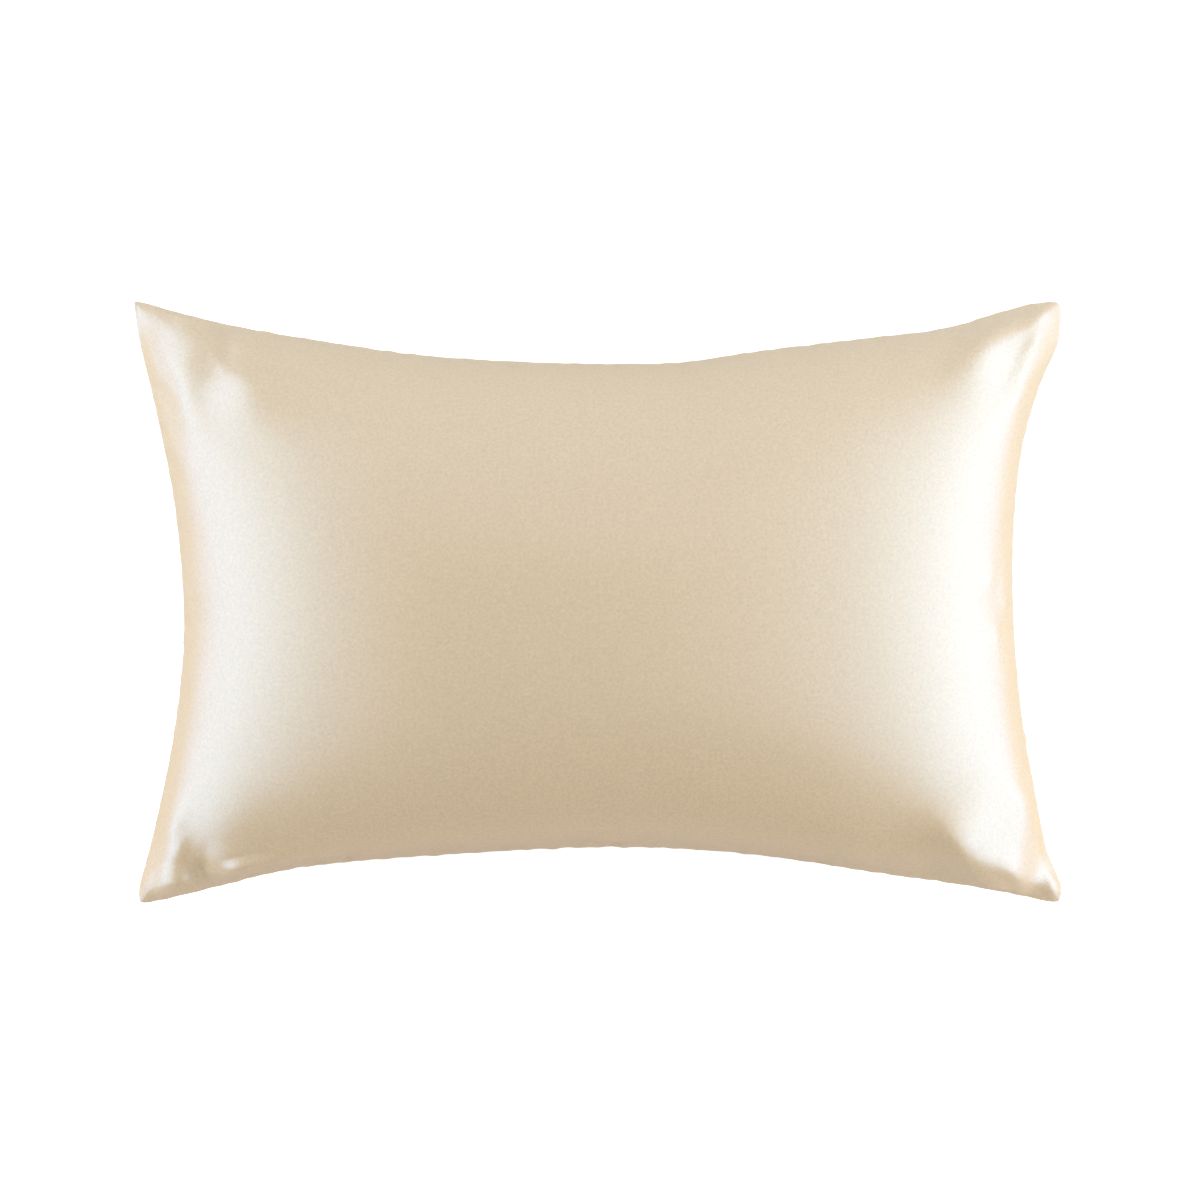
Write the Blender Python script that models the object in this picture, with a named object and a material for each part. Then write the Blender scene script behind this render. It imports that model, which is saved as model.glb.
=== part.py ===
"""A satin pillowcase with its pillow inside, lying on its back on a flat surface.

Metres, +Z up. X runs along the long sides and Y from the bottom side to the top side of the
front panel, which faces up. The origin is on the surface, under the middle of the case.

The case is two panels of 760 x 510 mm, sewn together all round. Filling it draws the sides
in between the corners, lifts the panels into a crown and leaves four small unfilled ears.
Both panels are worked out on one grid of stations u along X and v along Y, each from -1 to 1.
"""

import math
from collections import namedtuple

import bmesh
import bpy
from mathutils import Vector

# Driving dimensions
HALF_LENGTH = 0.377  # from the middle to a corner's tip along X
HALF_WIDTH = 0.246  # the same along Y
CROWN = 0.119  # from the seam up to the top of the front panel
SEAM_HEIGHT = 0.094  # from the surface up to the seam at the middle of each side
CORNER_DROOP = 0.020  # how much lower than that the unfilled corners hang
DROOP_POWER = 2.5  # a high power keeps the droop close to the corners
SEAM_LIP = 0.0025  # width of the sewn edge that stands out round the case
LIP_THICKNESS = 0.0018  # the panels and their turnings, pressed together

# How full the case is: a high power is a broad flat top, a low softness is a steep side
FILL_POWER_X = 2.4
FILL_POWER_Y = 2.2
FILL_SOFTNESS = 0.54
EAR_REACH = 0.050  # the filling thins out this far from a corner's tip
EAR_FLATNESS = 0.45  # share of the crown that is missing there

# The back panel lies flat where the filling presses it on the surface
BACK_PRESS = 1.36  # above 1, a larger share of the back lies flat
BACK_ROLL = 0.30  # how gently it rolls up from there

# The seam gathers into shallow puckers: two overlapping waves, so that no two are alike
PUCKER_LENGTHS = (0.083, 0.061)
PUCKER_HEIGHT = 0.0014
PUCKER_REACH = 0.030  # how far in from the seam they run

# Grid of each panel
STATIONS_X = 52
STATIONS_Y = 34
CROWDING = 0.62  # 0 spaces the stations evenly, 1 crowds them towards the seam

SATIN_COLOUR = (0.82, 0.71, 0.55, 1.0)
SATIN_ROUGHNESS = 0.38

# Where each corner's tip would be if it were sharp, how much the turned cloth rounds it and
# how far along the seam the rounding reaches
Corner = namedtuple("Corner", "x y blunt reach")
CORNERS = {
    "top_left": Corner(-HALF_LENGTH, HALF_WIDTH, 0.001, 0.004),
    "top_right": Corner(HALF_LENGTH + 0.002, HALF_WIDTH + 0.001, 0.006, 0.022),
    "bottom_left": Corner(-HALF_LENGTH, -HALF_WIDTH - 0.001, 0.007, 0.022),
    "bottom_right": Corner(HALF_LENGTH + 0.002, -HALF_WIDTH, 0.006, 0.022),
}

# How far the filling draws each side in from the straight line between its two tips. The
# share is the place along that line, and the depth is 0 at both ends.
Draw = namedtuple("Draw", "share depth")
Side = namedtuple("Side", "start end draws")
SIDES = {
    "top": Side("top_left", "top_right", (
        Draw(0.08, 0.017), Draw(0.18, 0.032), Draw(0.34, 0.049), Draw(0.57, 0.054),
        Draw(0.67, 0.044), Draw(0.80, 0.032), Draw(0.87, 0.025), Draw(0.95, 0.007),
    )),
    "bottom": Side("bottom_left", "bottom_right", (
        Draw(0.08, 0.015), Draw(0.18, 0.033), Draw(0.34, 0.044), Draw(0.52, 0.050),
        Draw(0.66, 0.044), Draw(0.80, 0.028), Draw(0.92, 0.014),
    )),
    "left": Side("bottom_left", "top_left", (
        Draw(0.06, 0.009), Draw(0.14, 0.020), Draw(0.28, 0.035), Draw(0.45, 0.044),
        Draw(0.65, 0.037), Draw(0.82, 0.020), Draw(0.93, 0.006),
    )),
    "right": Side("bottom_right", "top_right", (
        Draw(0.03, 0.002), Draw(0.09, 0.015), Draw(0.20, 0.027), Draw(0.34, 0.039),
        Draw(0.55, 0.045), Draw(0.74, 0.038), Draw(0.86, 0.021), Draw(0.93, 0.005),
    )),
}

# Soft folds of a panel, each a ridge (up) or a trough (down) from one point to another
Fold = namedtuple("Fold", "x0 y0 x1 y1 width height")
FRONT_FOLDS = (
    Fold(-0.357, 0.226, -0.325, 0.150, 0.013, 0.0050),  # top left ridge, from the tip inwards
    Fold(-0.314, 0.222, -0.311, 0.196, 0.012, -0.0085),  # top left dent, from the seam inwards
    Fold(-0.285, 0.212, -0.278, 0.180, 0.013, 0.0030),  # top left swell beyond the dent
    Fold(-0.350, 0.180, -0.340, 0.140, 0.007, -0.0030),  # top left trough by the side seam
    Fold(-0.341, -0.178, -0.352, -0.226, 0.010, 0.0060),  # bottom left ridge
    Fold(-0.332, -0.205, -0.320, -0.224, 0.011, -0.0100),  # bottom left dent
    Fold(-0.300, -0.208, -0.225, -0.204, 0.009, 0.0035),  # bottom left swell along the seam
    Fold(-0.353, -0.150, -0.356, -0.212, 0.008, -0.0040),  # bottom left trough by the side seam
    Fold(0.360, 0.235, 0.338, 0.165, 0.009, 0.0050),  # top right ridge, from the tip inwards
    Fold(0.371, 0.228, 0.353, 0.178, 0.007, -0.0035),  # top right trough by the side seam
    Fold(0.320, 0.222, 0.335, 0.190, 0.010, -0.0035),  # top right dent
    Fold(0.354, -0.205, 0.350, -0.236, 0.008, -0.0070),  # bottom right crease across the ear
    Fold(0.342, -0.160, 0.340, -0.225, 0.011, 0.0045),  # bottom right ridge beside it
    Fold(0.235, -0.212, 0.330, -0.230, 0.008, -0.0055),  # bottom right trough along the seam
)
BACK_FOLDS = (
    Fold(-0.330, 0.205, -0.290, 0.170, 0.016, 0.0060),
    Fold(0.328, 0.208, 0.296, 0.160, 0.015, 0.0060),
    Fold(-0.330, -0.205, -0.300, -0.165, 0.015, 0.0055),
    Fold(0.326, -0.210, 0.285, -0.172, 0.016, 0.0060),
)
FOLD_START = 4 * SEAM_LIP  # folds and puckers have their full height this far in from the seam


def smooth_step(value):
    """0 below 0, 1 above 1, and a smooth rise between them."""
    value = min(1.0, max(0.0, value))
    return value * value * (3 - 2 * value)


def soft_limit(value, limit, blend):
    """The lower of the two, rounded off where they come within blend of each other."""
    near = max(0.0, blend - abs(value - limit)) / blend
    return min(value, limit) - near * near * blend / 4


def stations(count, lip_share):
    """Places from -1 to 1 of a panel's grid lines. The last one at each end is the lip."""
    inner = 1 - lip_share
    places = []
    for index in range(count + 1):
        even = 2 * index / count - 1
        crowded = math.sin(even * math.pi / 2)
        places.append(inner * (CROWDING * crowded + (1 - CROWDING) * even))
    return [-1.0, *places, 1.0]


def corner_point(name):
    corner = CORNERS[name]
    return Vector((corner.x, corner.y))


def drawn_in(side, share):
    """The depth of a side at a share of its length, on a smooth curve through its rows."""
    rows = [Draw(0.0, 0.0), *side.draws, Draw(1.0, 0.0)]
    after = 1
    while after < len(rows) - 1 and rows[after].share < share:
        after += 1
    start, end = rows[after - 1], rows[after]
    before, beyond = rows[max(0, after - 2)], rows[min(len(rows) - 1, after + 1)]
    span = end.share - start.share
    start_slope = (end.depth - before.depth) / (end.share - before.share) * span
    end_slope = (beyond.depth - start.depth) / (beyond.share - start.share) * span
    t = (share - start.share) / span
    return (
        start.depth * (1 + 2 * t) * (1 - t) ** 2
        + start_slope * t * (1 - t) ** 2
        + end.depth * t * t * (3 - 2 * t)
        - end_slope * t * t * (1 - t)
    )


def side_point(name, place):
    """The point of the seam at a place from -1 to 1 along a side."""
    side = SIDES[name]
    start, end = corner_point(side.start), corner_point(side.end)
    chord = end - start
    inward = Vector((-chord.y, chord.x)).normalized()
    if inward.dot(start + end) > 0:
        inward = -inward
    share = (place + 1) / 2
    point = start.lerp(end, share) + inward * drawn_in(side, share)
    for corner in (CORNERS[side.start], CORNERS[side.end]):
        tip = Vector((corner.x, corner.y))
        near = max(0.0, 1 - (point - tip).length / corner.reach)
        point -= tip.normalized() * corner.blunt * near * near
    return point


def plan_point(u, v):
    """The place of the grid point (u, v) in plan, spread evenly between the four sides."""
    across, along = (u + 1) / 2, (v + 1) / 2
    bottom, top = side_point("bottom", u), side_point("top", u)
    left, right = side_point("left", v), side_point("right", v)
    between_long = bottom.lerp(top, along)
    between_short = left.lerp(right, across)
    low = side_point("bottom", -1).lerp(side_point("bottom", 1), across)
    high = side_point("top", -1).lerp(side_point("top", 1), across)
    return between_long + between_short - low.lerp(high, along)


def fullness(u, v, point, lip_x, lip_y):
    """How much of its full height the case has at a grid point: 0 on the seam, 1 in the middle."""
    across = min(1.0, abs(u) / (1 - lip_x))
    along = min(1.0, abs(v) / (1 - lip_y))
    dome = (1 - across**FILL_POWER_X) * (1 - along**FILL_POWER_Y)
    tip_distance = min((point - corner_point(name)).length for name in CORNERS)
    ear = EAR_FLATNESS * math.exp(-((tip_distance / EAR_REACH) ** 2))
    return dome**FILL_SOFTNESS * (1 - ear)


def fold_height(folds, point):
    """The height that the folds add at a point of the plan."""
    total = 0.0
    for fold in folds:
        start, end = Vector((fold.x0, fold.y0)), Vector((fold.x1, fold.y1))
        run = end - start
        share = (point - start).dot(run) / run.length_squared
        nearest = start.lerp(end, min(1.0, max(0.0, share)))
        distance = (point - nearest).length
        total += fold.height * math.exp(-((distance / fold.width) ** 2))
    return total


def pucker_height(point, inset_x, inset_y, phase):
    """The height of the seam's puckers at a point that lies inset from the two nearest seams."""
    total = 0.0
    for place, inset in ((point.x, inset_y), (point.y, inset_x)):
        wave = sum(math.sin(2 * math.pi * place / length + phase) for length in PUCKER_LENGTHS)
        total += PUCKER_HEIGHT * wave * math.exp(-inset / PUCKER_REACH)
    return total


def panel_heights(u, v, point, lip_x, lip_y):
    """The heights of the front and of the back panel at a grid point."""
    full = fullness(u, v, point, lip_x, lip_y)
    seam = SEAM_HEIGHT - CORNER_DROOP * abs(u * v) ** DROOP_POWER
    inset_x, inset_y = (1 - abs(u)) * HALF_LENGTH, (1 - abs(v)) * HALF_WIDTH
    off_seam = smooth_step(min(inset_x, inset_y) / FOLD_START)
    front_relief = fold_height(FRONT_FOLDS, point) + pucker_height(point, inset_x, inset_y, 0.0)
    back_relief = fold_height(BACK_FOLDS, point) + pucker_height(point, inset_x, inset_y, math.pi)
    pressed = soft_limit(BACK_PRESS * full, 1.0, BACK_ROLL)
    front = seam + LIP_THICKNESS / 2 + CROWN * full + off_seam * front_relief
    back = (1 - pressed) * (seam - LIP_THICKNESS / 2 + off_seam * back_relief)
    return front, back


def add_panel(mesh, name):
    """Adds the front or the back panel to the mesh, and returns its border's edges."""
    lip_x, lip_y = SEAM_LIP / HALF_LENGTH, SEAM_LIP / HALF_WIDTH
    across = stations(STATIONS_X, lip_x)
    along = stations(STATIONS_Y, lip_y)
    cells_x, cells_y = len(across) - 1, len(along) - 1
    grid = bmesh.ops.create_grid(mesh, x_segments=cells_x, y_segments=cells_y, size=1.0)["verts"]
    for vertex in grid:
        column = round((vertex.co.x + 1) / 2 * cells_x)
        row = round((vertex.co.y + 1) / 2 * cells_y)
        u, v = across[column], along[row]
        point = plan_point(u, v)
        front, back = panel_heights(u, v, point, lip_x, lip_y)
        vertex.co = (point.x, point.y, front if name == "front" else back)
    edges = {edge for vertex in grid for edge in vertex.link_edges}
    return [edge for edge in edges if edge.is_boundary]


def centre_on_origin(mesh):
    """Moves the case so that the middle of its box in plan is on the origin."""
    for axis in (0, 1):
        values = [vertex.co[axis] for vertex in mesh.verts]
        middle = (min(values) + max(values)) / 2
        for vertex in mesh.verts:
            vertex.co[axis] -= middle


def satin():
    material = bpy.data.materials.new("champagne satin")
    material.use_nodes = True
    shader = material.node_tree.nodes["Principled BSDF"]
    shader.inputs["Base Color"].default_value = SATIN_COLOUR
    shader.inputs["Roughness"].default_value = SATIN_ROUGHNESS
    shader.inputs["Metallic"].default_value = 0.0
    return material


def filled_case(collection):
    """The two panels, joined all round at the seam, as one closed solid."""
    mesh = bmesh.new()
    borders = add_panel(mesh, "front") + add_panel(mesh, "back")
    bmesh.ops.bridge_loops(mesh, edges=borders)
    centre_on_origin(mesh)
    bmesh.ops.recalc_face_normals(mesh, faces=mesh.faces)
    data = bpy.data.meshes.new("pillowcase")
    mesh.to_mesh(data)
    mesh.free()
    data.materials.append(satin())
    data.shade_smooth()
    case = bpy.data.objects.new("pillowcase", data)
    collection.objects.link(case)
    return case


def main():
    for old in list(bpy.data.objects):
        bpy.data.objects.remove(old)
    collection = bpy.data.collections.new("filled pillowcase")
    bpy.context.scene.collection.children.link(collection)
    filled_case(collection)


main()
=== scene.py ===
"""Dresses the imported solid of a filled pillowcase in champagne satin, on a plain studio floor."""

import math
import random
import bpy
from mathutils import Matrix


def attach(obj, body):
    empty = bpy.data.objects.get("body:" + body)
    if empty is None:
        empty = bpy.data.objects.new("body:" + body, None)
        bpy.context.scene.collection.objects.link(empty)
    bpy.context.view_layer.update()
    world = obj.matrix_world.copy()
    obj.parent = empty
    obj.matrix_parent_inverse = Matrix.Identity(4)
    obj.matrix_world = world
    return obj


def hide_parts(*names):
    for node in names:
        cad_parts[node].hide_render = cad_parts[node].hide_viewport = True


bl_info = {
    "name": "Filled satin pillowcase",
    "version": (1, 0, 0),
    "blender": (4, 5, 0),
    "location": "3D View > Sidebar > Pillowcase",
    "description": "Sews a satin case over the packed solid of a filled pillowcase, and lights it",
    "category": "Object",
}

import bmesh
import bpy
import numpy as np
from bpy.props import FloatProperty, FloatVectorProperty, IntProperty, PointerProperty
from mathutils import Vector
from mathutils.kdtree import KDTree

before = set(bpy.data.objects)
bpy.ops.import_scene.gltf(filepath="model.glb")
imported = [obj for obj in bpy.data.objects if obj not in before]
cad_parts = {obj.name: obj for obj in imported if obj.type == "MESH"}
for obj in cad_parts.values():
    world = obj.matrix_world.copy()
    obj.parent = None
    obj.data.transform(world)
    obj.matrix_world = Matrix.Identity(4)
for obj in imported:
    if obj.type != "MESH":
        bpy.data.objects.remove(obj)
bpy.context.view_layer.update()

SOLID = "pillowcase"
MM = 0.001
TINY = 1e-9

# Sectors round the middle in which the seam is looked for, on the coarse mesh and on the fine one.
COARSE_SECTORS = 180
FINE_SECTORS = 720

# Distances in metres, in from the seam or from a corner.
SEAM_BAND = 0.006       # band along the seam over which pins, softening and folds fade
LIFT_REACH = 0.030      # how far a lifted seam draws the back panel up with it
RIPPLE_REACH = 0.012    # how far the waves of the seam run into the panels
BARE_CORNER = 0.040     # round each corner, where there are no small gathers
CORNER_FADE = 0.060     # beyond that, where they come in

# Small gathers: the ranges that chance draws from, as shares of the usual spacing, height and
# reach, and for the width as a share of the step to the next gather.
GATHER_SEED = 11
GATHER_STEPS = (0.7, 1.3)
GATHER_HEIGHTS = (0.25, 1.0)
GATHER_REACHES = (0.6, 1.4)
GATHER_WIDTHS = (0.22, 0.34)

# Waves of the seam: their lengths, as shares of the gathers' spacing.
RIPPLE_SEED = 5
RIPPLE_LENGTHS = (0.6, 0.8, 1.0, 1.3, 1.7)

# Studio, in metres. The parts of a tall softbox have a name, a lowest and a highest point and a
# share of its brightness. The ceiling panels have a name, a place from above and a length.
BOX_AWAY = 1.5
BOX_LENGTH = 3.0
BOX_PARTS = (("low", 0.0, 0.4, 0.75), ("main", 0.4, 1.2, 1.0), ("high", 1.2, 2.0, 0.48))
FAR_PANEL_HEIGHT = 2.0
CEILING = 2.2
CEILING_WIDTH = 1.2
CEILING_PANELS = (
    ("right_ceiling_panel", (0.9, 0.0), 3.0),
    ("far_ceiling_panel", (-0.3, 1.0), 1.0),
)
FLOOR_SIDE = 60.0
WARM_FLOOR = (-0.40, -0.10)   # the stretch of Y over which the near floor's warmer tint fades out

# Camera: the photo's width in pixels, how many of them its middle lies right of and beyond the
# middle of the case, the height at which the view's width is measured, and the sensor in mm.
PHOTO_WIDTH = 1200
PHOTO_SHIFT = (2.0, 1.5)
VIEW_HEIGHT = 0.08
SENSOR = 36.0

# Folds of the front, from above, in millimetres from the middle of the case. Each has three points
# of its crest as (x, y, height). Then come its widths at the start and at the end on the left of
# the way from the first point to the last, those on the right, and how softly its crest is rounded.
# A dent has a negative height. Large folds raise the panel and part of its seam.
LARGE_FOLDS = (
    # far left corner: the ridge of the pulled cloth, the swell below it and the one beside it
    (((-330, 241, 21), (-318, 212, 16), (-290, 178, 0)), (14, 16), (36, 46), 0.15),
    (((-305, 186, 2), (-272, 173, 8), (-209, 160, 0)), (18, 22), (44, 56), 0.6),
    (((-285, 226, 0), (-282, 202, 3), (-277, 176, 0)), (44, 50), (16, 16), 0.8),
    # far right corner: the ridge
    (((360, 234, 3), (308, 208, 10), (265, 159, 0)), (28, 40), (12, 24), 0.3),
    # near left corner: the ridge, the dent beside it, the swell along the seam
    (((-330, -179, 0), (-334, -208, 6.5), (-334, -232, 11.5)), (20, 26), (17, 28), 0.3),
    (((-320, -204, 0), (-316, -214, -3), (-313, -224, -1)), (9, 9), (7, 7), 0.8),
    (((-305, -221, 0), (-279, -216, 12), (-224, -208, 0)), (13, 16), (4, 4), 0.4),
    # near right corner: the ridge and the hollow along the seam
    (((313, -231, 20), (289, -200, 15), (261, -149, 0)), (10, 44), (56, 62), 0.2),
    (((241, -206, 0), (269, -214, -5), (303, -226, 0)), (14, 14), (8, 7), 0.5),
)
SMALL_FOLDS = (
    # far right corner: the notch in the ridge
    (((352, 222, 0), (342, 209, -0.8), (335, 196, 0)), (11, 11), (10, 10), 1.0),
    # creases and swells along the near seam, from left to right
    (((-290, -220, 0), (-266, -216, -1.5), (-242, -210, 0)), (2.6, 2.6), (2.6, 2.6), 0.4),
    (((-253, -213.5, 0), (-247, -212, -1.5), (-241, -210, 0)), (3, 3), (3, 3), 0.5),
    (((-284, -211, 0), (-264, -207, 1.4), (-245, -204.5, 0)), (5, 5), (4, 4), 0.5),
    (((-241, -207, 0), (-217, -204, 1.2), (-191, -200.5, 0)), (5, 5), (4, 4), 0.5),
    (((-227, -210, 0), (-221, -209.5, -1.8), (-215, -208.5, 0)), (2.8, 2.8), (2.8, 2.8), 0.5),
    (((-206, -208, 0), (-201, -207, -1.9), (-195, -206, 0)), (3, 3), (3, 3), 0.5),
    (((-11, -197, 0), (-2, -195.5, -2.0), (8, -194, 0)), (3, 3), (3, 3), 0.5),
    (((-8, -192.5, 0), (2, -190, 1.0), (13, -188.5, 0)), (5, 5), (4, 4), 0.5),
    (((8, -196.5, 0), (15, -195, -2.1), (24, -192.5, 0)), (3.2, 3.2), (3.2, 3.2), 0.5),
    (((138, -200.5, 0), (160, -202, 1.6), (181, -206, 0)), (6, 6), (4, 4), 0.5),
    (((162, -208.5, 0), (178, -212, -1.8), (198, -216, 0)), (3, 3), (3, 3), 0.5),
    (((222, -210, 0), (235, -212.5, 1.6), (251, -216, 0)), (5, 5), (4, 4), 0.5),
    (((258, -219, 0), (270, -220.5, 2.0), (285, -223, 0)), (3.5, 3.5), (2.5, 2.5), 0.4),
)


class PillowcaseSewing(bpy.types.PropertyGroup):
    """Sizes of the sewn case."""

    pressure: FloatProperty(
        name="Filling pressure", description="How hard the filling presses on the cloth",
        default=10.0, min=0.0, max=50.0)
    slack: FloatProperty(
        name="Gathered cloth", description="Spare length of cloth along the seam, as a share",
        default=0.009, min=0.0, max=0.1, subtype="FACTOR")
    slack_reach: FloatProperty(
        name="Gather reach", description="How far from the seam the cloth is gathered",
        default=0.026, min=0.001, unit="LENGTH")
    gather_depth: FloatProperty(
        name="Gather depth", description="How far in from the seam the settled gathers are kept",
        default=0.035, min=0.001, unit="LENGTH")
    most_move: FloatProperty(
        name="Most movement", description="How far the filling may move a point of the cloth",
        default=0.004, min=0.0, unit="LENGTH")
    settle_frames: IntProperty(
        name="Settling frames", description="Frames that the cloth is given to settle",
        default=20, min=1, max=60)
    fold_strength: FloatProperty(
        name="Fold strength", description="Share of the folds' height that is used",
        default=1.0, min=0.0, max=2.0, subtype="FACTOR")
    seam_lift: FloatProperty(
        name="Seam lift", description="Share of a large fold's height that also lifts the seam",
        default=0.35, min=0.0, max=1.0, subtype="FACTOR")
    pucker_height: FloatProperty(
        name="Pucker height", description="Height of the small gathers along the seam",
        default=0.0011, min=0.0, unit="LENGTH")
    ripple_height: FloatProperty(
        name="Ripple height", description="How far the seam waves in and out between its gathers",
        default=0.0003, min=0.0, unit="LENGTH")
    pucker_spacing: FloatProperty(
        name="Pucker spacing", description="Mean distance from one gather to the next",
        default=0.025, min=0.005, unit="LENGTH")
    pucker_reach: FloatProperty(
        name="Pucker reach", description="How far a gather runs in from the seam",
        default=0.008, min=0.001, unit="LENGTH")


class PillowcaseSatin(bpy.types.PropertyGroup):
    """Colours and finish of the satin."""

    colour: FloatVectorProperty(
        name="Satin colour", description="Main colour of the satin",
        default=(0.735, 0.538, 0.299), min=0.0, max=1.0, subtype="COLOR")
    shade: FloatVectorProperty(
        name="Thread shade", description="Darker colour between the threads",
        default=(0.625, 0.452, 0.241), min=0.0, max=1.0, subtype="COLOR")
    shine: FloatVectorProperty(
        name="Shine colour", description="Tint of the satin's highlights",
        default=(0.41, 0.71, 1.0), min=0.0, max=1.0, subtype="COLOR")
    gloss: FloatProperty(
        name="Gloss index", description="Index of refraction that sets how much the satin shines",
        default=2.7, min=1.0, max=4.0)
    roughness: FloatProperty(
        name="Roughness", description="How softly the satin spreads a highlight",
        default=0.38, min=0.0, max=1.0, subtype="FACTOR")
    grain: FloatProperty(
        name="Grain size", description="Size of the soft grain in the weave",
        default=0.0022, min=0.0002, unit="LENGTH")
    thread: FloatProperty(
        name="Thread size", description="Size of the thread pattern: threads lie 0.63 of it apart",
        default=0.00045, min=0.0001, unit="LENGTH")


class PillowcaseStudio(bpy.types.PropertyGroup):
    """The floor, the lights and the camera."""

    floor: FloatVectorProperty(
        name="Floor colour", description="Colour of the studio floor",
        default=(0.93, 0.93, 0.93), min=0.0, max=1.0, subtype="COLOR")
    floor_glow: FloatProperty(
        name="Floor glow", description="Light that the floor panel gives off by itself",
        default=0.45, min=0.0)
    floor_return: FloatProperty(
        name="Floor return", description="Share of its light that the floor throws on the case",
        default=0.75, min=0.0, max=1.0, subtype="FACTOR")
    near_tint: FloatVectorProperty(
        name="Near floor tint", description="Warmer tint of that light from the floor's near side",
        default=(1.1, 0.86, 0.72), min=0.0, max=1.2, subtype="COLOR")
    ceiling: FloatProperty(
        name="Room light", description="Even light that the room throws on the case",
        default=0.37, min=0.0)
    wall: FloatProperty(
        name="Room brightness", description="Brightness of the room behind the case",
        default=1.0, min=0.0)
    left: FloatProperty(
        name="Left softbox", description="Brightness of the softbox on the left",
        default=2.62, min=0.0)
    right: FloatProperty(
        name="Right softbox", description="Brightness of the softbox on the right",
        default=3.1, min=0.0)
    low_tint: FloatVectorProperty(
        name="Low light tint", description="Cooler tint of the softboxes close to the floor",
        default=(0.83, 1.0, 1.34), min=0.0, max=2.0, subtype="COLOR")
    fill: FloatProperty(
        name="Fill panels", description="Brightness of the panels beyond the top edge and overhead",
        default=0.57, min=0.0)
    lens: FloatProperty(
        name="Lens", description="Focal length of the camera in millimetres",
        default=100.0, min=10.0)
    view_width: FloatProperty(
        name="View width", description="Width of the picture at about the height of the seam",
        default=0.972, min=0.1, unit="LENGTH")


def coordinates(mesh, what="co"):
    """The vertices' places or normals as rows of an array."""
    values = np.zeros(len(mesh.vertices) * 3, np.float32)
    mesh.vertices.foreach_get(what, values)
    return values.reshape(-1, 3).astype(float)


def set_coordinates(mesh, points):
    """Moves the vertices to these places."""
    mesh.vertices.foreach_set("co", points.astype(np.float32).ravel())
    mesh.update()


def smooth_step(values):
    """From 0 at 0 to 1 at 1, level at both ends."""
    share = np.clip(values, 0.0, 1.0)
    return share * share * (3.0 - 2.0 * share)


def keep_result(case):
    """Puts the mesh that the modifiers give in the place of the case's own, without them."""
    graph = bpy.context.evaluated_depsgraph_get()
    result = bpy.data.meshes.new_from_object(case.evaluated_get(graph))
    case.modifiers.clear()
    old = case.data
    case.data = result
    bpy.data.meshes.remove(old)


def subdivide(case):
    """Divides each face in four, smoothly."""
    modifier = case.modifiers.new("finer", "SUBSURF")
    modifier.levels = modifier.render_levels = 1
    keep_result(case)


def copy_panels(node):
    """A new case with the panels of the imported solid, in four-sided faces."""
    form = bmesh.new()
    form.from_mesh(node.data)
    bmesh.ops.remove_doubles(form, verts=form.verts, dist=1e-6)
    bmesh.ops.join_triangles(
        form, faces=form.faces, angle_face_threshold=math.pi, angle_shape_threshold=math.pi,
        topology_influence=2.0)
    mesh = bpy.data.meshes.new("satin_case")
    form.to_mesh(mesh)
    form.free()
    case = bpy.data.objects.new("satin_case", mesh)
    bpy.context.scene.collection.objects.link(case)
    return case


def seam_line(points, sectors=COARSE_SECTORS, step=0.0005):
    """Points close together round the seam, how far along it each one lies, and its length.

    Each sector gives its outermost point, so it has to be wider than the gap between two points
    of the seam."""
    half = np.abs(points[:, :2]).max(axis=0)
    plan = points[:, :2] / half
    angle = np.arctan2(plan[:, 1], plan[:, 0])
    radius = np.hypot(plan[:, 0], plan[:, 1])
    sector = np.floor((angle + math.pi) / (2 * math.pi) * sectors).astype(int) % sectors
    order = np.lexsort((-radius, sector))
    first = order[np.unique(sector[order], return_index=True)[1]]
    corners = points[np.append(first, first[0])]
    gaps = np.linalg.norm(np.diff(corners, axis=0), axis=1)
    places = np.concatenate(([0.0], np.cumsum(gaps)))
    along = np.arange(0.0, places[-1], step)
    line = np.stack([np.interp(along, places, corners[:, k]) for k in range(3)], axis=1)
    return line, along, places[-1]


def seam_distances(points, line, along):
    """How far each point lies from the seam, and how far along the seam its nearest point is."""
    tree = KDTree(len(line))
    for index, place in enumerate(line):
        tree.insert(place, index)
    tree.balance()
    found = [tree.find(point) for point in points]
    return np.array([f[2] for f in found]), along[[f[1] for f in found]]


def even_out(mesh, moves, rounds):
    """The moves of the points, averaged again and again over their neighbours."""
    edges = np.zeros(len(mesh.edges) * 2, np.int32)
    mesh.edges.foreach_get("vertices", edges)
    first, second = edges.reshape(-1, 2).T
    count = np.bincount(edges, minlength=len(moves))[:, None]
    for _ in range(rounds):
        total = np.zeros_like(moves)
        for axis in range(3):
            total[:, axis] = (
                np.bincount(first, moves[second, axis], len(moves))
                + np.bincount(second, moves[first, axis], len(moves)))
        moves = 0.5 * moves + 0.5 * total / count
    return moves


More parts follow.
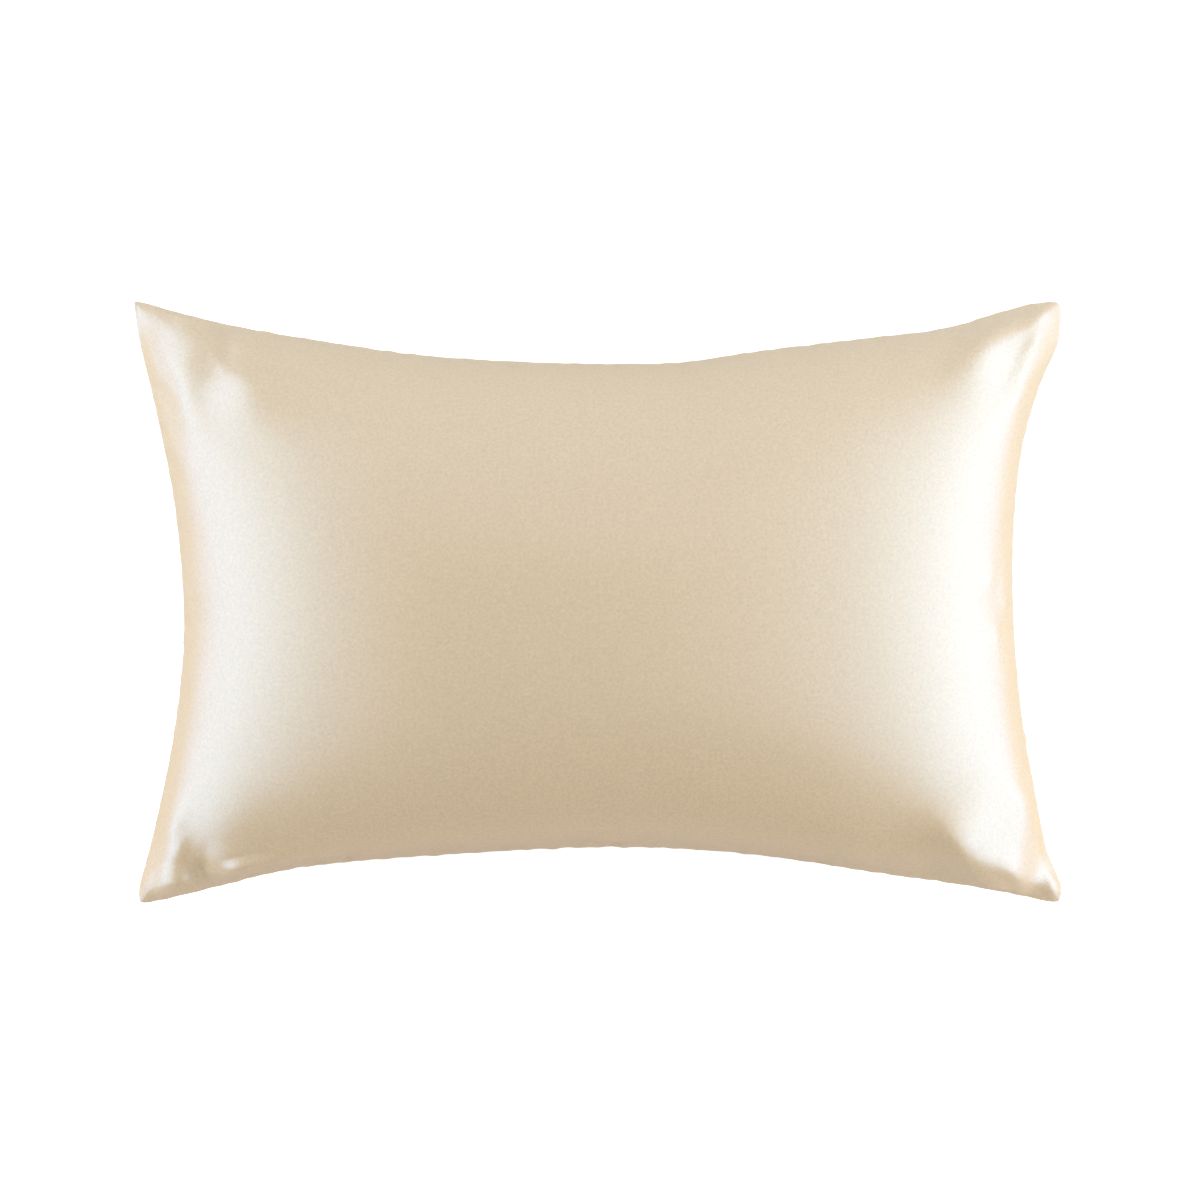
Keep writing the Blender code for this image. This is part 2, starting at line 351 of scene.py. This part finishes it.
def settle_cloth(case, sewing, resting=0.002, rounds=300, kept_swell=0.4):
    """Lets the filling press on the cloth, with spare cloth along the seam.

    The seam is pinned where it lies higher than resting. The move is split into a broad swell,
    of which a share is kept, and the gathers near the seam."""
    start = coordinates(case.data)
    line, along, _ = seam_line(start)
    away, _ = seam_distances(start, line, along)
    pin = case.vertex_groups.new(name="pin")
    plain = case.vertex_groups.new(name="plain")
    for index, distance in enumerate(away):
        held = max(0.0, 1 - distance / SEAM_BAND) if start[index, 2] > resting else 0.0
        pin.add([index], held, "REPLACE")
        plain.add([index], 1 - math.exp(-(distance / sewing.slack_reach) ** 2), "REPLACE")
    modifier = case.modifiers.new("cloth", "CLOTH")
    cloth = modifier.settings
    cloth.quality = 5
    cloth.mass = 0.002
    cloth.tension_stiffness = cloth.compression_stiffness = 30
    cloth.shear_stiffness = 15
    cloth.bending_stiffness = 0.3
    cloth.tension_damping = cloth.compression_damping = cloth.shear_damping = 1
    cloth.use_pressure = True
    cloth.uniform_pressure_force = sewing.pressure
    cloth.vertex_group_mass = pin.name
    cloth.vertex_group_shrink = plain.name
    cloth.shrink_min = -sewing.slack
    cloth.shrink_max = 0.0
    cloth.effector_weights.gravity = 0
    modifier.collision_settings.use_collision = False
    for number in range(1, sewing.settle_frames + 1):
        bpy.context.scene.frame_set(number)
    graph = bpy.context.evaluated_depsgraph_get()
    end = coordinates(case.evaluated_get(graph).data)
    case.modifiers.clear()
    case.vertex_groups.clear()
    bpy.context.scene.frame_set(1)
    move = end - start
    if not np.isfinite(move).all():
        raise RuntimeError("the cloth did not settle")
    swell = even_out(case.data, move, rounds)
    gathers = (move - swell) * np.exp(-(away / sewing.gather_depth) ** 2)[:, None]
    move = swell * kept_swell + gathers
    far = np.linalg.norm(move, axis=1)
    share = np.minimum(1.0, sewing.most_move / np.maximum(far, TINY))
    set_coordinates(case.data, start + move * share[:, None])


def refine_front(case, corner_reach=0.100, seam_reach=0.014, least_up=-0.05):
    """Divides the front's faces near the corners and the seam once more, for the folds there."""
    points = coordinates(case.data)
    tips = corner_tips(points)
    line, along, _ = seam_line(points)
    form = bmesh.new()
    form.from_mesh(case.data)
    form.faces.ensure_lookup_table()
    middles = np.array([face.calc_center_median() for face in form.faces])
    away, _ = seam_distances(middles, line, along)
    near = set()
    for face, middle, distance in zip(form.faces, middles, away):
        at_corner = min(math.dist(middle[:2], tip) for tip in tips) < corner_reach
        if face.normal.z > least_up and (at_corner or distance < seam_reach):
            near.update(face.edges)
    bmesh.ops.subdivide_edges(form, edges=list(near), cuts=1, use_grid_fill=True)
    form.to_mesh(case.data)
    form.free()


def soften_corners(case, reach=0.100, fade=0.4, seam_gap=0.002, rounds=24):
    """Takes small kinks out of the panel near the corners, before the folds go in."""
    points = coordinates(case.data)
    line, along, _ = seam_line(points, FINE_SECTORS)
    away, _ = seam_distances(points, line, along)
    share = smooth_step((reach - corner_distances(points)) / (fade * reach))
    share *= smooth_step((away - seam_gap) / SEAM_BAND)
    soft = even_out(case.data, points, rounds)
    set_coordinates(case.data, points + (soft - points) * share[:, None])


def corner_tips(points):
    """The four outermost corners, from above."""
    tips = []
    for side_x in (-1, 1):
        for side_y in (-1, 1):
            reach = points[:, 0] * side_x + points[:, 1] * side_y
            tips.append(points[int(np.argmax(reach)), :2])
    return tips


def corner_distances(points):
    """How far each point lies from the nearest corner, from above."""
    tips = corner_tips(points)
    return np.min([np.linalg.norm(points[:, :2] - tip, axis=1) for tip in tips], axis=0)


def crest_line(points, count=24):
    """A smooth line through three points of a crest, with the height at each place."""
    first, centre, last = np.array([point[:2] for point in points], float)
    share = np.linspace(0.0, 1.0, count)
    bend = 2 * centre - 0.5 * (first + last)
    back = (1 - share)[:, None]
    on = share[:, None]
    line = back ** 2 * first + 2 * on * back * bend + on ** 2 * last
    start, middle, end = (point[2] for point in points)
    height = np.where(
        share < 0.5, start + (middle - start) * smooth_step(2 * share),
        middle + (end - middle) * smooth_step(2 * share - 1))
    return line, height


def fold_heights(plan, folds, hollow=1.6):
    """How far the folds lift or press in each point of the front.

    The power hollow draws a fold's flanks in, so that they run out softly."""
    total = np.zeros(len(plan))
    for points, left, right, softness in folds:
        line, crest = crest_line(points)
        line *= MM
        nearest = np.full(len(plan), np.inf)
        side = np.zeros(len(plan))
        height = np.zeros(len(plan))
        share = np.zeros(len(plan))
        for number in range(len(line) - 1):
            way = line[number + 1] - line[number]
            t = np.clip(((plan - line[number]) @ way) / (way @ way), 0.0, 1.0)
            offset = plan - line[number] - t[:, None] * way
            distance = np.linalg.norm(offset, axis=1)
            closer = distance < nearest
            nearest[closer] = distance[closer]
            across = way[0] * offset[closer, 1] - way[1] * offset[closer, 0]
            side[closer] = across / (np.linalg.norm(way) * np.maximum(distance[closer], TINY))
            height[closer] = (crest[number] + (crest[number + 1] - crest[number]) * t)[closer]
            share[closer] = (number + t[closer]) / (len(line) - 1)
        on_left, on_right = (start + (end - start) * share for start, end in (left, right))
        width = 0.5 * (on_left + on_right) + 0.5 * (on_left - on_right) * np.clip(side, -1.0, 1.0)
        reach = nearest / (width * MM)
        fall = (np.hypot(reach, softness) - softness) / (math.hypot(1.0, softness) - softness)
        total += height * MM * np.clip(1.0 - fall, 0.0, 1.0) ** hollow
    return total


def pucker_heights(away, place, length, sewing):
    """Small uneven gathers along the seam."""
    chance = random.Random(GATHER_SEED)
    total = np.zeros(len(away))
    position = 0.0
    while position < length - 0.5 * sewing.pucker_spacing:
        step = sewing.pucker_spacing * chance.uniform(*GATHER_STEPS)
        height = sewing.pucker_height * chance.uniform(*GATHER_HEIGHTS)
        reach = sewing.pucker_reach * chance.uniform(*GATHER_REACHES)
        width = step * chance.uniform(*GATHER_WIDTHS)
        gap = np.abs(place - position)
        gap = np.minimum(gap, length - gap)
        inward = away / reach
        total += height * np.exp(-(gap / width) ** 2) * inward * np.exp(0.5 - 0.5 * inward ** 2)
        position += step
    return total


def seam_ripples(place, length, spacing, usual_peak=3.0):
    """Small waves along the seam, from about -1 to 1."""
    chance = random.Random(RIPPLE_SEED)
    total = np.zeros(len(place))
    for share in RIPPLE_LENGTHS:
        waves = round(length / (spacing * share))
        total += np.sin(2 * math.pi * (waves * place / length + chance.random()))
    return total / usual_peak


def front_shares(rise, upward, inward, turn=0.004, level=0.3):
    """How far each point belongs to the front, from 0 to 1.

    It does so by its height over the seam, or by how far it faces upward inside the seam."""
    return np.maximum(smooth_step(0.5 + rise / turn), smooth_step(upward / level) * inward)


def seam_outward(normals, least=0.05):
    """Directions straight out from the case, from above, which fade where a panel is level."""
    across = np.maximum(np.linalg.norm(normals[:, :2], axis=1), least)
    return normals[:, :2] / across[:, None]


def crease_and_fold(case, sewing):
    """Adds the folds to the front, and the gathers and waves along the seam."""
    points = coordinates(case.data)
    normals = coordinates(case.data, "normal")
    line, along, length = seam_line(points, FINE_SECTORS)
    away, place = seam_distances(points, line, along)
    rise = points[:, 2] - np.interp(place, along, line[:, 2])
    inward = smooth_step(away / SEAM_BAND)
    front = front_shares(rise, normals[:, 2], inward)

    drawn_up = front + (1 - front) * np.exp(-(away / LIFT_REACH) ** 2)
    raised = sewing.seam_lift * drawn_up + (1 - sewing.seam_lift) * front * inward
    lift = fold_heights(points[:, :2], LARGE_FOLDS) * sewing.fold_strength * raised

    close = smooth_step(away / (0.5 * SEAM_BAND))
    height = fold_heights(points[:, :2], SMALL_FOLDS) * sewing.fold_strength * front * close
    clear = smooth_step((corner_distances(points) - BARE_CORNER) / CORNER_FADE)
    height += pucker_heights(away, place, length, sewing) * front * clear
    points += normals * height[:, None]

    # The seam waves along the near and far sides, which face along Y, more than at the ends.
    ripple = seam_ripples(place, length, sewing.pucker_spacing)
    ripple *= np.exp(-(away / RIPPLE_REACH) ** 2)
    outward = seam_outward(normals)
    points[:, :2] += outward * (sewing.ripple_height * ripple * outward[:, 1] ** 2)[:, None]
    points[:, 2] = np.maximum(points[:, 2] + lift, 0.0)
    set_coordinates(case.data, points)


def add(tree, kind, **values):
    """A new node with these settings and socket values."""
    node = tree.nodes.new(kind)
    for name, value in values.items():
        if hasattr(node, name):
            setattr(node, name, value)
        else:
            node.inputs[name].default_value = value
    return node


def ramp(tree, value, start=0.0, end=1.0, low=0.0, high=1.0):
    """Turns a value's range from start to end into one from low to high."""
    node = tree.nodes.new("ShaderNodeMapRange")
    ends = {"From Min": start, "From Max": end, "To Min": low, "To Max": high}
    for name, number in ends.items():
        node.inputs[name].default_value = number
    tree.links.new(value, node.inputs["Value"])
    return node.outputs["Result"]


def mix_colours(tree, share, first, second):
    """Mixes two colours. The share is the second one's."""
    node = add(tree, "ShaderNodeMix", data_type="RGBA")
    node.inputs["A"].default_value = (*first, 1.0)
    node.inputs["B"].default_value = (*second, 1.0)
    tree.links.new(share, node.inputs["Factor"])
    return node.outputs["Result"]


def satin_material(satin):
    """Champagne satin: fine threads, a soft grain and a clear, broad shine."""
    material = bpy.data.materials.new("champagne_satin")
    material.use_nodes = True
    tree = material.node_tree
    link = tree.links.new
    shader = tree.nodes["Principled BSDF"]
    shader.inputs["IOR"].default_value = satin.gloss
    shader.inputs["Specular Tint"].default_value = (*satin.shine, 1.0)

    place = add(tree, "ShaderNodeTexCoord")
    grain = add(tree, "ShaderNodeTexNoise", Scale=1.0 / satin.grain, Detail=2.0, Roughness=0.6)
    link(place.outputs["Object"], grain.inputs["Vector"])
    contrast = ramp(tree, grain.outputs["Fac"], start=0.30, end=0.70)
    tint = mix_colours(tree, contrast, satin.shade, satin.colour)
    link(tint, shader.inputs["Base Color"])

    # Broad patches, about 11 cm across, shine a little more or less.
    cloud = add(tree, "ShaderNodeTexNoise", Scale=9.0, Detail=2.0)
    link(place.outputs["Object"], cloud.inputs["Vector"])
    uneven = 0.03
    polish = ramp(tree, cloud.outputs["Fac"],
                  low=satin.roughness - uneven, high=satin.roughness + uneven)
    link(polish, shader.inputs["Roughness"])

    warp = add(tree, "ShaderNodeTexWave", wave_type="BANDS", bands_direction="X",
               Scale=0.5 / satin.thread, Distortion=0.4)
    link(place.outputs["Object"], warp.inputs["Vector"])
    relief = add(tree, "ShaderNodeMath", operation="ADD")
    link(warp.outputs["Fac"], relief.inputs[0])
    link(grain.outputs["Fac"], relief.inputs[1])
    bump = add(tree, "ShaderNodeBump", Strength=0.10, Distance=0.0002)
    link(relief.outputs["Value"], bump.inputs["Height"])
    link(bump.outputs["Normal"], shader.inputs["Normal"])
    return material


class PILLOWCASE_OT_sew_case(bpy.types.Operator):
    """Sews the satin case over the filled solid, with its folds and gathers"""

    bl_idname = "pillowcase.sew_case"
    bl_label = "Sew satin case"

    def execute(self, context):
        sewing = context.scene.pillowcase_sewing
        case = copy_panels(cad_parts[SOLID])
        subdivide(case)
        settle_cloth(case, sewing)
        refine_front(case)
        subdivide(case)
        soften_corners(case)
        crease_and_fold(case, sewing)
        case.data.shade_smooth()
        case.data.materials.clear()
        case.data.materials.append(satin_material(context.scene.pillowcase_satin))
        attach(case, "root")
        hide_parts(SOLID)
        return {"FINISHED"}


def softbox(name, place, facing, width, height, brightness):
    """A rectangular light whose face has the given brightness. The camera doesn't see it."""
    light = bpy.data.lights.new(name, "AREA")
    light.shape = "RECTANGLE"
    light.size, light.size_y = width, height
    light.energy = brightness * math.pi * width * height
    box = bpy.data.objects.new(name, light)
    bpy.context.scene.collection.objects.link(box)
    box.location = place
    box.rotation_mode = "QUATERNION"
    box.rotation_quaternion = Vector(facing).to_track_quat("-Z", "Y")
    box.visible_camera = False
    return box


def light_case(studio):
    """Tall softboxes left and right, and weak fill panels beyond the case and overhead.

    The softboxes are brightest at middle height, and cooler near the floor."""
    for name, side, brightness in (("left", -1, studio.left), ("right", 1, studio.right)):
        for part, low, high, share in BOX_PARTS:
            place = (side * BOX_AWAY, 0.0, (low + high) / 2)
            box = softbox(f"{name}_{part}_softbox", place, (-side, 0.0, 0.0),
                          BOX_LENGTH, high - low, brightness * share)
            if part == "low":
                box.data.color = studio.low_tint
    softbox("far_panel", (0.0, BOX_AWAY, FAR_PANEL_HEIGHT / 2), (0.0, -1.0, 0.0),
            BOX_LENGTH, FAR_PANEL_HEIGHT, studio.fill)
    for name, place, length in CEILING_PANELS:
        softbox(name, (*place, CEILING), (0.0, 0.0, -1.0), CEILING_WIDTH, length, studio.fill)


def floor_material(studio):
    """White paper that glows a little to the camera, and throws part of its light on the case.

    The thrown light is warmer on the near side."""
    paper = bpy.data.materials.new("floor_paper")
    paper.use_nodes = True
    tree = paper.node_tree
    link = tree.links.new
    seen = tree.nodes["Principled BSDF"]
    seen.inputs["Base Color"].default_value = (*studio.floor, 1.0)
    seen.inputs["Roughness"].default_value = 0.9
    seen.inputs["Emission Color"].default_value = (1.0, 1.0, 1.0, 1.0)
    seen.inputs["Emission Strength"].default_value = studio.floor_glow

    place = add(tree, "ShaderNodeTexCoord")
    axes = add(tree, "ShaderNodeSeparateXYZ")
    link(place.outputs["Object"], axes.inputs["Vector"])
    far = [part * studio.floor_return for part in studio.floor]
    near = [part * tint for part, tint in zip(far, studio.near_tint)]
    distance = ramp(tree, axes.outputs["Y"], *WARM_FLOOR)
    thrown = add(tree, "ShaderNodeBsdfDiffuse")
    link(mix_colours(tree, distance, near, far), thrown.inputs["Color"])

    ray = add(tree, "ShaderNodeLightPath")
    mix = add(tree, "ShaderNodeMixShader")
    link(ray.outputs["Is Camera Ray"], mix.inputs["Fac"])
    link(thrown.outputs["BSDF"], mix.inputs[1])
    link(seen.outputs["BSDF"], mix.inputs[2])
    link(mix.outputs["Shader"], tree.nodes["Material Output"].inputs["Surface"])
    return paper


def light_room(studio):
    """A pale room round a dimmer set, so that the case stands out from it."""
    world = bpy.data.worlds.new("studio_room")
    world.use_nodes = True
    tree = world.node_tree
    air = tree.nodes["Background"]
    air.inputs["Color"].default_value = (1.0, 1.0, 1.0, 1.0)
    ray = add(tree, "ShaderNodeLightPath")
    light = ramp(tree, ray.outputs["Is Camera Ray"], low=studio.ceiling, high=studio.wall)
    tree.links.new(light, air.inputs["Strength"])
    bpy.context.scene.world = world


class PILLOWCASE_OT_set_studio(bpy.types.Operator):
    """Lays the floor and sets up the softboxes and the camera above the case"""

    bl_idname = "pillowcase.set_studio"
    bl_label = "Set up studio"

    def execute(self, context):
        scene = context.scene
        studio = scene.pillowcase_studio
        mesh = bpy.data.meshes.new("studio_floor")
        half = FLOOR_SIDE / 2
        mesh.from_pydata(
            [(-half, -half, 0), (half, -half, 0), (half, half, 0), (-half, half, 0)], [],
            [(0, 1, 2, 3)])
        floor = bpy.data.objects.new("studio_floor", mesh)
        scene.collection.objects.link(floor)
        mesh.materials.append(floor_material(studio))

        light_case(studio)
        light_room(studio)

        camera = bpy.data.objects.new("studio_camera", bpy.data.cameras.new("studio_camera"))
        scene.collection.objects.link(camera)
        camera.data.lens = studio.lens
        camera.data.sensor_width = SENSOR
        pixel = studio.view_width / PHOTO_WIDTH
        distance = studio.view_width * studio.lens / SENSOR
        across, beyond = PHOTO_SHIFT
        camera.location = (across * pixel, beyond * pixel, VIEW_HEIGHT + distance)
        scene.camera = camera
        scene.view_settings.view_transform = "Standard"
        return {"FINISHED"}


class PILLOWCASE_PT_panel(bpy.types.Panel):
    """Lists the steps and their settings"""

    bl_idname = "PILLOWCASE_PT_panel"
    bl_label = "Pillowcase"
    bl_space_type = "VIEW_3D"
    bl_region_type = "UI"
    bl_category = "Pillowcase"

    def draw(self, context):
        for group, operator in (
            ("pillowcase_sewing", None),
            ("pillowcase_satin", PILLOWCASE_OT_sew_case.bl_idname),
            ("pillowcase_studio", PILLOWCASE_OT_set_studio.bl_idname),
        ):
            settings = getattr(context.scene, group)
            column = self.layout.column(align=True)
            for name in settings.__annotations__:
                column.prop(settings, name)
            if operator:
                self.layout.operator(operator)


GROUPS = {
    "pillowcase_sewing": PillowcaseSewing,
    "pillowcase_satin": PillowcaseSatin,
    "pillowcase_studio": PillowcaseStudio,
}
CLASSES = (
    *GROUPS.values(), PILLOWCASE_OT_sew_case, PILLOWCASE_OT_set_studio, PILLOWCASE_PT_panel)


def register():
    for kind in CLASSES:
        bpy.utils.register_class(kind)
    for name, kind in GROUPS.items():
        setattr(bpy.types.Scene, name, PointerProperty(type=kind))


def unregister():
    for name in GROUPS:
        delattr(bpy.types.Scene, name)
    for kind in reversed(CLASSES):
        bpy.utils.unregister_class(kind)


def main():
    register()
    bpy.ops.pillowcase.sew_case()
    bpy.ops.pillowcase.set_studio()


if __name__ == "__main__":
    main()
